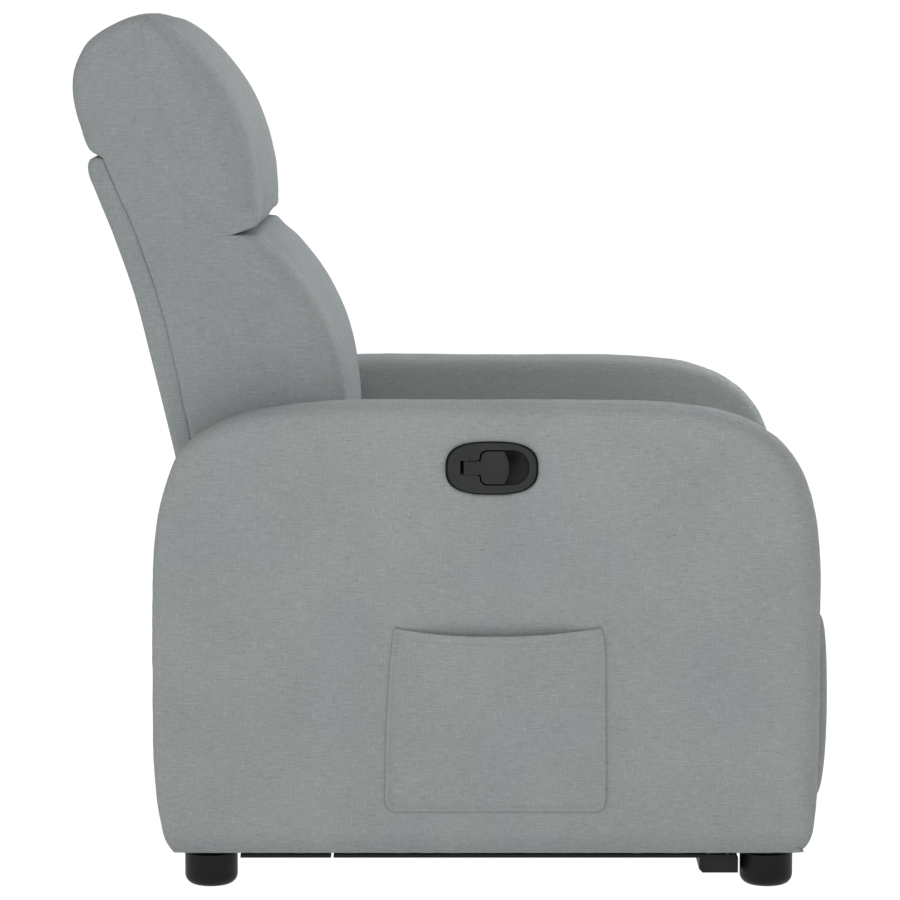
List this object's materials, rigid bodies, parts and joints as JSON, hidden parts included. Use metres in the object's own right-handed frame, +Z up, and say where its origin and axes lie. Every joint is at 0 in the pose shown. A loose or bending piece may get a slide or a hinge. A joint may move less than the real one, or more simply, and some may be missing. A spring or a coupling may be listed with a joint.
{
  "type": "recliner armchair",
  "caption": "Upholstered recliner armchair with a latch-released linkage footrest, a reclining back, rounded arms and a side pocket.",
  "frame": {"origin": "on the floor, under the middle of the chair's box", "axes": "+Z up; the chair faces -Y; -X is the seated person's right, the side with the handle and the pocket"},
  "size_m": [0.6975, 0.878, 1.005],
  "materials": {
    "fabric": "light grey linen-look weave",
    "back_fabric": "light grey linen-look weave",
    "webbing": "black woven elastic",
    "black_steel": "satin black powder coat",
    "link_steel": "dark phosphate steel",
    "zinc_steel": "zinc plated",
    "black_plastic": "fine grained",
    "cable_sheath": "smooth",
    "wood": "raw plywood and pine"
  },
  "bodies": {
    "base": {"feet": "black_plastic", "foot_studs": "zinc_steel", "foot_blocks": "wood", "under_rails": "black_steel", "front_cross_bar": "black_steel", "rear_cross_bar": "black_steel", "arm_panel_right": "wood", "arm_panel_left": "wood", "arm_posts": "wood", "arm_cover_right": "fabric", "arm_cover_left": "fabric", "arm_bolts": "zinc_steel", "mechanism_rails": "black_steel", "front_leg_plates": "black_steel", "rear_leg_plates": "black_steel", "cross_bar_bolts": "zinc_steel", "seat_side_rails": "wood", "seat_front_rail": "wood", "seat_rear_rail": "wood", "rail_screws": "zinc_steel", "seat_springs": "zinc_steel", "spring_clips": "zinc_steel", "seat_cushion": "fabric", "rear_rail": "wood", "rear_panel": "fabric", "drive_pivot_pins": "zinc_steel", "handle_bezel": "black_plastic", "finger_cup": "black_plastic", "paddle_pin": "zinc_steel", "release_cable": "cable_sheath", "release_lever_pin": "zinc_steel", "pocket_panel": "fabric", "pocket_gusset": "fabric"},
    "back": {"back_brackets": "black_steel", "bracket_bolts": "zinc_steel", "back_hinge_pins": "zinc_steel", "back_posts": "wood", "back_top_rail": "wood", "back_bottom_rail": "wood", "back_webbing": "webbing", "back_body": "fabric", "back_shell": "back_fabric", "head_pillow": "fabric", "lumbar_pillow": "fabric"},
    "drive_link": {"drive_bars": "link_steel", "drive_tube": "link_steel", "drive_rivets": "zinc_steel"},
    "guide_link": {"guide_bars": "link_steel", "guide_rivets": "zinc_steel"},
    "reach_link": {"reach_bars": "link_steel", "reach_rivets": "zinc_steel"},
    "carrier_link": {"carrier_bars": "link_steel", "carrier_rivets": "zinc_steel"},
    "stay_link": {"stay_links": "link_steel"},
    "footrest": {"footrest_brackets": "link_steel", "bracket_screws": "zinc_steel", "footrest_board": "wood", "footrest_pad": "fabric"},
    "paddle": {"handle_paddle": "black_plastic"},
    "pawl": {"release_lever": "link_steel"}
  },
  "joints": [
    {"name": "back_recline", "type": "hinge", "parent": "base", "child": "back", "pos_m": [0, 0.2085, 0.315], "axis": [-1, 0, 0], "range_deg": [0, 40]},
    {"name": "footrest_extend", "type": "hinge", "parent": "base", "child": "drive_link", "pos_m": [0, -0.28105, 0.25436], "axis": [-1, 0, 0], "range_deg": [0, 55]},
    {"name": "guide_fold", "type": "hinge", "parent": "drive_link", "child": "guide_link", "pos_m": [0, -0.31383, 0.17324], "axis": [-1, 0, 0], "range_deg": [-110, 0]},
    {"name": "reach_fold", "type": "hinge", "parent": "guide_link", "child": "reach_link", "pos_m": [0, -0.31078, 0.26068], "axis": [-1, 0, 0], "range_deg": [0, 110]},
    {"name": "carrier_fold", "type": "hinge", "parent": "reach_link", "child": "carrier_link", "pos_m": [0, -0.34355, 0.17955], "axis": [-1, 0, 0], "range_deg": [-110, 0]},
    {"name": "stay_swing", "type": "hinge", "parent": "reach_link", "child": "stay_link", "pos_m": [0, -0.36603, 0.12392], "axis": [-1, 0, 0], "range_deg": [-97.2, 0]},
    {"name": "footrest_tilt", "type": "hinge", "parent": "carrier_link", "child": "footrest", "pos_m": [0, -0.3405, 0.267], "axis": [-1, 0, 0], "range_deg": [0, 137.5]},
    {"name": "paddle_pull", "type": "hinge", "parent": "base", "child": "paddle", "pos_m": [-0.3405, -0.016, 0.489], "axis": [0, 0, -1], "range_deg": [0, 30], "stiffness_Nm_per_rad": 0.4},
    {"name": "pawl_release", "type": "hinge", "parent": "base", "child": "pawl", "pos_m": [0, -0.2285, 0.292], "axis": [-1, 0, 0], "range_deg": [0, 10]}
  ],
  "couplings": [
    {"joint": "guide_fold", "follows": "footrest_extend", "ratio": -2},
    {"joint": "reach_fold", "follows": "footrest_extend", "ratio": 2},
    {"joint": "carrier_fold", "follows": "footrest_extend", "ratio": -2},
    {"joint": "stay_swing", "follows": "footrest_extend", "ratio": -1.767},
    {"joint": "footrest_tilt", "follows": "footrest_extend", "ratio": 2.5},
    {"joint": "pawl_release", "follows": "paddle_pull", "ratio": 0.3333}
  ]
}
